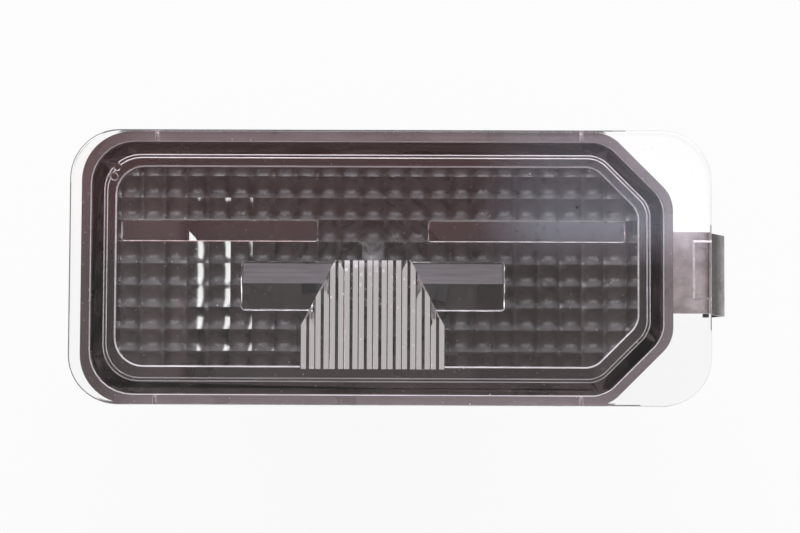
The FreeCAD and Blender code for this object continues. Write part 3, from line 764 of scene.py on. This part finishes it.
def roof_prisms(sizes, base, into):
    """The fluted block: upright roof prisms with narrow flat crests, slanted at the block's sides."""
    tip, flat = FLUTE_TIP, FLUTE_FLAT
    root = base - BITE
    pitch = sizes.flute_width / FLUTE_COUNT
    crest = root - (pitch / 2 - tip - flat)
    start = sizes.optic_middle - sizes.flute_width / 2
    profile = [(start, into), (start, root), (start + flat, root)]
    for k in range(FLUTE_COUNT):
        peak = start + (k + 0.5) * pitch
        valley = start + (k + 1) * pitch
        profile += [(peak - tip, crest), (peak + tip, crest), (valley - flat, root), (valley + flat, root)]
    profile[-1] = (start + sizes.flute_width, root)
    profile.append((start + sizes.flute_width, into))
    hip_low = crest - SKIN
    hipped = flute_outline(sizes, hip_low, into)
    sides = []
    for edge in level_edges(hipped, hip_low):
        along = edge.verts[1].co - edge.verts[0].co
        if abs(along.x) > SKIN and abs(along.y) > SKIN:
            sides.append(edge)
    chamfer(hipped, sides, sizes.flute_hip)
    return combine(bar(profile, 1, sizes.flute_bottom, sizes.flute_top), [("INTERSECT", hipped)])


def prism_bar(sizes, base, into):
    """The bar: a plain field that carries a wedge with a slanted upper face and a flat lower one."""
    top, bottom = sizes.bar_top, sizes.bar_bottom
    margin = 2 * sizes.field_edge
    low = field_level(sizes, base)
    left, right = sizes.optic_middle - sizes.bar_reach, sizes.optic_middle + sizes.bar_reach
    profile = ((top - margin, into), (top - margin, low), (sizes.bar_ridge, LENS_LOW[2]),
               (bottom + margin, LENS_LOW[2]), (bottom + margin, into))
    return combine(plain_field(sizes, (left, bottom), (right, top), low, into), [
        ("UNION", bar(profile, 0, left + margin, right - margin)),
        ("DIFFERENCE", flute_outline(sizes, LENS_LOW[2] - BITE, base))])


def mark_faces(sizes, bm, base, rear):
    """Gives the bar's slanted face the second material, the pillows the third and the flares the fourth."""
    low = field_level(sizes, base)
    run = sizes.bar_ridge - sizes.bar_top + 2 * sizes.field_edge
    slant = Vector((0.0, low - LENS_LOW[2], run)).normalized()
    half_block = sizes.flute_width / 2
    bm.normal_update()
    for face in bm.faces:
        place = face.calc_center_median()
        level = -face.normal.z
        if place.z < low and face.normal.dot(slant) > 0.999:
            face.material_index = 1
        elif low < place.z < base and 0.6 < level < 0.9999:
            beside = abs(place.x - sizes.optic_middle) > half_block or place.y > sizes.flute_top
            if level > 0.75 or (beside and face.normal.x * face.normal.y != 0.0):
                face.material_index = 2
        elif rear - 2.2 * sizes.root < place.z < rear + sizes.notch_height and 0.68 < level < 0.74:
            face.material_index = 3


class LAMP_OT_lens(bpy.types.Operator):
    """Models the clear lens with its weld tongue, pillows, prism bar and roof prisms"""
    bl_idname = "lamp.lens"
    bl_label = "Lens"

    def execute(self, context):
        sizes = context.scene.lamp_lens
        front = LENS_HIGH[2]
        rear = front - sizes.plate_thickness
        into = rear + BITE
        base = rear - sizes.pad_drop
        steps = [("UNION", weld_wall(sizes, rear, into)), ("UNION", optic_pad(sizes, rear, base, into))]
        steps += [("UNION", field) for field in windows(sizes, base, into)]
        steps += [("DIFFERENCE", flute_outline(sizes, base - 4 * MM, base)),
                  ("UNION", roof_prisms(sizes, base, into)), ("UNION", prism_bar(sizes, base, into))]
        for x, y in PIP_PLACES:
            pip = bmesh.new()
            middle = Matrix.Translation((x, y, rear - PIP_DROP + PIP_LENGTH / 2))
            bmesh.ops.create_cone(pip, cap_ends=True, segments=24, radius1=PIP_RADIUS, radius2=PIP_RADIUS,
                                  depth=PIP_LENGTH, matrix=middle)
            chamfer(pip, level_edges(pip, rear - PIP_DROP), sizes.root)
            steps.append(("UNION", pip))
        edge = LENS_HIGH[0]
        ceiling = rear + sizes.notch_height
        notch = block((edge - sizes.notch_depth, sizes.notch_place - sizes.notch_width / 2, rear - BITE),
                      (edge + BITE, sizes.notch_place + sizes.notch_width / 2, ceiling))
        chamfer(notch, level_edges(notch, ceiling), 2 * sizes.root)
        steps.append(("DIFFERENCE", notch))
        lens = combine(plate(sizes, rear, front), steps)
        mark_faces(sizes, lens, base, rear)
        finishes = context.scene.lamp_finishes
        polished = lens_material("lens_acrylic", finishes.lens, 0.015, 0.30)
        piece = finish_piece("clear_lens", lens, polished, LAMP, ["lens"], 20.0)
        piece.data.materials.append(satin_material("lens_satin_face", finishes.satin, 0.65))
        piece.data.materials.append(lens_material("lens_pillow_face", finishes.lens, 0.18, 0.32))
        piece.data.materials.append(satin_material("lens_frosted_edge", finishes.frosted, 0.2))
        return {"FINISHED"}


class LAMP_OT_housing(bpy.types.Operator):
    """Dresses the black housing"""
    bl_idname = "lamp.housing"
    bl_label = "Housing"

    def execute(self, context):
        finishes = context.scene.lamp_finishes
        plastic = housing_material(finishes.housing, finishes.housing_dust, finishes.lip_sheen)
        finish_piece("black_housing", merged_copy("housing"), plastic, LAMP, ["housing"])
        return {"FINISHED"}


class LAMP_OT_clip(bpy.types.Operator):
    """Dresses the spring clip"""
    bl_idname = "lamp.clip"
    bl_label = "Spring clip"

    def execute(self, context):
        finishes = context.scene.lamp_finishes
        finish_piece("steel_spring_clip", merged_copy("spring_clip"),
                     clip_material(finishes.clip, finishes.clip_stain), LAMP, ["spring_clip"])
        return {"FINISHED"}


class LAMP_OT_holder(bpy.types.Operator):
    """Dresses the twist-in bulb holder, its seal and its contacts"""
    bl_idname = "lamp.holder"
    bl_label = "Bulb holder"

    def execute(self, context):
        finishes = context.scene.lamp_finishes
        finish_piece("twist_bulb_holder", merged_copy("bulb_holder"),
                     plain_plastic("holder_plastic", finishes.holder, 0.85, 0.5, 4000.0),
                     TWIST, ["bulb_holder"])
        finish_piece("holder_seal_ring", merged_copy("holder_seal"),
                     plain_plastic("seal_rubber", finishes.seal, 0.7, 0.62, 7000.0),
                     TWIST, ["holder_seal"])
        brass = plain_metal("contact_brass", finishes.brass, 0.3)
        for node in ("contact_plus", "contact_minus"):
            finish_piece(node + "_strip", merged_copy(node), brass, TWIST, [node])
        return {"FINISHED"}


def turned(profile, axis, segments=48):
    """A closed solid turned from a profile of radii and levels that starts and ends on the axis."""
    bm = bmesh.new()
    verts = [bm.verts.new((axis.x + radius, axis.y, level)) for radius, level in profile]
    edges = [bm.edges.new(pair) for pair in zip(verts, verts[1:])]
    bmesh.ops.spin(bm, geom=verts + edges, cent=(axis.x, axis.y, 0.0), axis=(0.0, 0.0, 1.0),
                   angle=2.0 * math.pi, steps=segments, use_merge=True)
    bmesh.ops.remove_doubles(bm, verts=bm.verts[:], dist=1e-7)
    bmesh.ops.recalc_face_normals(bm, faces=bm.faces[:])
    return bm


def dome(radius, centre, steps=10):
    """Profile of a ball end, from the tip on the axis to the full radius."""
    turns = [math.radians(90.0) * k / steps for k in range(steps + 1)]
    return [(radius * math.sin(t), centre + radius * math.cos(t)) for t in turns]


def bulb_shell():
    """Thin glass tube with a ball end, drawn in and pinched to a flat base."""
    low, high = Vector(GLASS_LOW), Vector(GLASS_HIGH)
    axis = (low + high) / 2.0
    radius = (high.x - low.x) / 2.0
    bore = radius - BULB_WALL
    centre = high.z - radius
    neck = low.z + BULB_NECK
    outside = dome(radius, centre) + [(radius, neck + 2.5 * MM), (0.72 * radius, neck), (0.0, neck)]
    inside = dome(bore, centre) + [(bore, neck + 2.8 * MM), (0.0, neck + 1.6 * MM)]
    half_long, half_thick = BULB_BASE
    base = block((axis.x - half_long, axis.y - half_thick, low.z),
                 (axis.x + half_long, axis.y + half_thick, neck + MM))
    round_edges(base, base.edges[:], 0.5 * MM, 3)
    return combine(turned(outside, axis), [("DIFFERENCE", turned(inside, axis)), ("UNION", base)])


class LAMP_OT_bulb(bpy.types.Operator):
    """Models the bulb's glass, coiled filament and lead wires"""
    bl_idname = "lamp.bulb"
    bl_label = "Bulb"

    def execute(self, context):
        finishes = context.scene.lamp_finishes
        finish_piece("wedge_bulb_glass", bulb_shell(), bulb_material(finishes.glass),
                     TWIST, ["bulb_glass"])
        wire = plain_metal("tungsten_wire", finishes.tungsten, 0.35)
        low, high = Vector(FILAMENT_LOW), Vector(FILAMENT_HIGH)
        middle = (low + high) / 2.0
        outer = (high.z - low.z) / 2.0
        thick = COIL_WIRE
        coil = bmesh.new()
        ring = bmesh.ops.create_circle(
            coil, segments=6, radius=thick,
            matrix=Matrix.Translation((low.x + thick, middle.y, middle.z + outer - thick))
            @ Matrix.Rotation(math.radians(90.0), 4, "X"))
        edges = list({e for v in ring["verts"] for e in v.link_edges})
        steps = COIL_TURNS * COIL_STEPS
        advance = (high.x - low.x - 2 * thick) / steps
        bmesh.ops.spin(coil, geom=ring["verts"] + edges, cent=middle, axis=(1.0, 0.0, 0.0),
                       dvec=(advance, 0.0, 0.0), angle=2.0 * math.pi * COIL_TURNS, steps=steps)
        bmesh.ops.holes_fill(coil, edges=coil.edges[:], sides=6)
        bmesh.ops.recalc_face_normals(coil, faces=coil.faces[:])
        finish_piece("filament_coil", coil, wire, TWIST, ["filament"], 60.0)
        for node in ("lead_wire_plus", "lead_wire_minus"):
            finish_piece(node + "_bent", merged_copy(node), wire, TWIST, [node])
        return {"FINISHED"}


class LAMP_OT_stage(bpy.types.Operator):
    """Sets the floor, the soft light and the camera"""
    bl_idname = "lamp.stage"
    bl_label = "Stage"

    def execute(self, context):
        scene = context.scene
        stage = scene.lamp_stage
        bm = bmesh.new()
        bmesh.ops.create_grid(bm, x_segments=1, y_segments=1, size=3.0)
        bmesh.ops.translate(bm, verts=bm.verts[:], vec=(0.0, 0.0, CAD_BOX[0][2]))
        floor = loose_object("floor", bm)
        floor.data.materials.append(self.floor_material(stage.floor))
        self.surround(scene, stage)
        self.softbox("softbox_upper", stage.softbox, stage.softbox_radiance, stage.softbox_size,
                     stage.softbox_place)
        camera = bpy.data.cameras.new("camera")
        camera.sensor_width = 36.0
        camera.lens = stage.camera_lens
        camera.clip_start = 0.01
        camera.clip_end = 20.0
        eye = bpy.data.objects.new("camera", camera)
        eye.location = stage.camera_place
        eye.rotation_euler = Euler(stage.camera_turn)
        scene.collection.objects.link(eye)
        scene.camera = eye
        scene.view_settings.view_transform = "Standard"
        return {"FINISHED"}

    def floor_material(self, tint):
        """Pale floor that the camera, metal and glass see as plain white."""
        material, tree, shader, place = start_material("pale_floor")
        shader.inputs["Base Color"].default_value = (*tint, 1.0)
        shader.inputs["Roughness"].default_value = 0.9
        path = tree.nodes.new("ShaderNodeLightPath")
        seen = math_node(tree, "MAXIMUM", path.outputs["Is Camera Ray"], path.outputs["Is Transmission Ray"])
        seen = math_node(tree, "MAXIMUM", seen, path.outputs["Is Glossy Ray"])
        white = tree.nodes.new("ShaderNodeEmission")
        white.inputs["Strength"].default_value = 1.0
        mix = tree.nodes.new("ShaderNodeMixShader")
        link(tree, math_node(tree, "MULTIPLY", seen, 0.93), mix.inputs["Fac"])
        link(tree, shader.outputs["BSDF"], mix.inputs[1])
        link(tree, white.outputs["Emission"], mix.inputs[2])
        link(tree, mix.outputs["Shader"], tree.nodes["Material Output"].inputs["Surface"])
        return material

    def surround(self, scene, stage):
        """Light from all round with a soft glow overhead, from warm to cool; the camera sees white."""
        tint = stage.surround
        world = bpy.data.worlds.new("surround")
        world.use_nodes = True
        scene.world = world
        tree = world.node_tree
        background = tree.nodes["Background"]
        path = tree.nodes.new("ShaderNodeLightPath")
        sky = tree.nodes.new("ShaderNodeTexCoord")
        up = tree.nodes.new("ShaderNodeSeparateXYZ")
        link(tree, sky.outputs["Generated"], up.inputs["Vector"])
        overhead = map_range(tree, up.outputs["Z"], 0.75, 0.97, 0.0, 1.0)
        soft = mix_colour(tree, overhead, tuple(0.5 * c for c in tint), tuple(tint))
        glow = math_node(tree, "MULTIPLY", map_range(tree, up.outputs["Y"], 0.078, 0.092, 0.0, 1.0),
                         map_range(tree, up.outputs["Y"], 0.12, 0.2, 1.0, 0.0))
        soft = mix_colour(tree, glow, soft, tuple(stage.warm))
        right = math_node(tree, "MULTIPLY", map_range(tree, up.outputs["X"], 0.01, 0.036, 0.0, 1.0),
                          map_range(tree, up.outputs["X"], 0.08, 0.14, 1.0, 0.0))
        right = math_node(tree, "MULTIPLY", right, map_range(tree, up.outputs["Y"], 0.095, 0.115, 1.0, 0.4))
        bright = tuple(stage.cool_strength * c for c in stage.cool)
        soft = mix_colour(tree, math_node(tree, "MULTIPLY", glow, right), soft, bright)
        link(tree, mix_colour(tree, path.outputs["Is Camera Ray"], soft, (1.0, 1.0, 1.0)),
             background.inputs["Color"])
        background.inputs["Strength"].default_value = 1.0

    def softbox(self, name, tint, radiance, size, place):
        """A large rectangular light that faces the lamp."""
        lamp = bpy.data.lights.new(name, "AREA")
        lamp.shape = "RECTANGLE"
        lamp.size, lamp.size_y = size
        lamp.color = tint
        lamp.energy = radiance * math.pi * size[0] * size[1]
        obj = bpy.data.objects.new(name, lamp)
        obj.location = place
        obj.rotation_euler = (-Vector(place)).to_track_quat("-Z", "Y").to_euler()
        obj.visible_camera = False
        bpy.context.scene.collection.objects.link(obj)


class LAMP_PT_panel(bpy.types.Panel):
    """Lists the lamp's pieces and its stage"""
    bl_idname = "LAMP_PT_panel"
    bl_label = "License plate lamp"
    bl_space_type = "VIEW_3D"
    bl_region_type = "UI"
    bl_category = "Lamp"

    def draw(self, context):
        for operator in PIECES:
            self.layout.operator(operator.bl_idname)
        for holder in (context.scene.lamp_lens, context.scene.lamp_finishes, context.scene.lamp_stage):
            box = self.layout.box()
            for name in holder.bl_rna.properties.keys():
                if name not in ("rna_type", "name"):
                    box.prop(holder, name)


PIECES = (LAMP_OT_stage, LAMP_OT_lens, LAMP_OT_housing, LAMP_OT_clip, LAMP_OT_holder, LAMP_OT_bulb)
CLASSES = (LensSizes, Finishes, StageSizes, *PIECES, LAMP_PT_panel)


def register():
    """Registers the classes and their properties."""
    for cls in CLASSES:
        bpy.utils.register_class(cls)
    bpy.types.Scene.lamp_lens = bpy.props.PointerProperty(type=LensSizes)
    bpy.types.Scene.lamp_finishes = bpy.props.PointerProperty(type=Finishes)
    bpy.types.Scene.lamp_stage = bpy.props.PointerProperty(type=StageSizes)


def unregister():
    """Removes the classes and their properties."""
    del bpy.types.Scene.lamp_lens
    del bpy.types.Scene.lamp_finishes
    del bpy.types.Scene.lamp_stage
    for cls in reversed(CLASSES):
        bpy.utils.unregister_class(cls)


def main():
    """Builds the pieces in order."""
    register()
    bpy.ops.lamp.stage()
    bpy.ops.lamp.lens()
    bpy.ops.lamp.housing()
    bpy.ops.lamp.clip()
    bpy.ops.lamp.holder()
    bpy.ops.lamp.bulb()
    bpy.context.view_layer.update()


if __name__ == "__main__":
    main()
